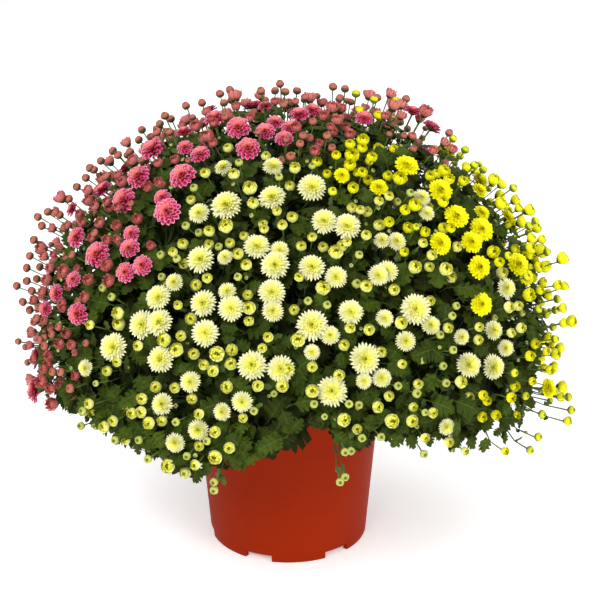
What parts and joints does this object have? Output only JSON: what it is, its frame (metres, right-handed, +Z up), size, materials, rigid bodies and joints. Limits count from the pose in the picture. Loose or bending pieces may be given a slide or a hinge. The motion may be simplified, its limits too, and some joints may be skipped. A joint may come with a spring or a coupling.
{
  "type": "potted chrysanthemum",
  "caption": "Dense dome of small double chrysanthemum blooms in cream white, magenta pink and lemon yellow, on leafy stems in a tapered plastic nursery pot.",
  "frame": {"origin": "on the ground under the middle of the flower dome; the pot's axis stands 9 mm to the left of it", "axes": "+Z up, -Y the front that the picture shows, +X to the right"},
  "size_m": [0.7493, 0.7167, 0.6114],
  "materials": {
    "pot": "satin",
    "soil": "matte",
    "foliage": "satin",
    "white_petals": "matte",
    "pink_petals": "matte",
    "yellow_petals": "matte"
  },
  "bodies": {
    "root": {"leafy_stem_01": "foliage", "leafy_stem_02": "foliage", "leafy_stem_03": "foliage", "leafy_stem_04": "foliage", "leafy_stem_05": "foliage", "leafy_stem_06": "foliage", "leafy_stem_07": "foliage", "leafy_stem_08": "foliage", "leafy_stem_09": "foliage", "leafy_stem_10": "foliage", "leafy_stem_11": "foliage", "leafy_stem_12": "foliage", "leafy_stem_13": "foliage", "leafy_stem_14": "foliage", "leafy_stem_15": "foliage", "leafy_stem_16": "foliage", "leafy_stem_17": "foliage", "leafy_stem_18": "foliage", "leafy_stem_19": "foliage", "leafy_stem_20": "foliage", "leafy_stem_21": "foliage", "leafy_stem_22": "foliage", "leafy_stem_23": "foliage", "leafy_stem_24": "foliage", "leafy_stem_25": "foliage", "leafy_stem_26": "foliage", "leafy_stem_27": "foliage", "leafy_stem_28": "foliage", "pink_spray_01": "pink_petals", "pink_spray_02": "pink_petals", "pink_spray_03": "pink_petals", "pink_spray_04": "pink_petals", "pink_spray_05": "pink_petals", "pink_spray_06": "pink_petals", "pink_spray_07": "pink_petals", "pink_spray_08": "pink_petals", "pink_spray_09": "pink_petals", "pink_spray_10": "pink_petals", "pink_spray_11": "pink_petals", "pink_spray_12": "pink_petals", "pot": "pot", "soil": "soil", "white_spray_01": "white_petals", "white_spray_02": "white_petals", "white_spray_03": "white_petals", "white_spray_04": "white_petals", "white_spray_05": "white_petals", "white_spray_06": "white_petals", "white_spray_07": "white_petals", "white_spray_08": "white_petals", "yellow_spray_01": "yellow_petals", "yellow_spray_02": "yellow_petals", "yellow_spray_03": "yellow_petals", "yellow_spray_04": "yellow_petals", "yellow_spray_05": "yellow_petals", "yellow_spray_06": "yellow_petals", "yellow_spray_07": "yellow_petals", "yellow_spray_08": "yellow_petals"}
  },
  "joints": []
}
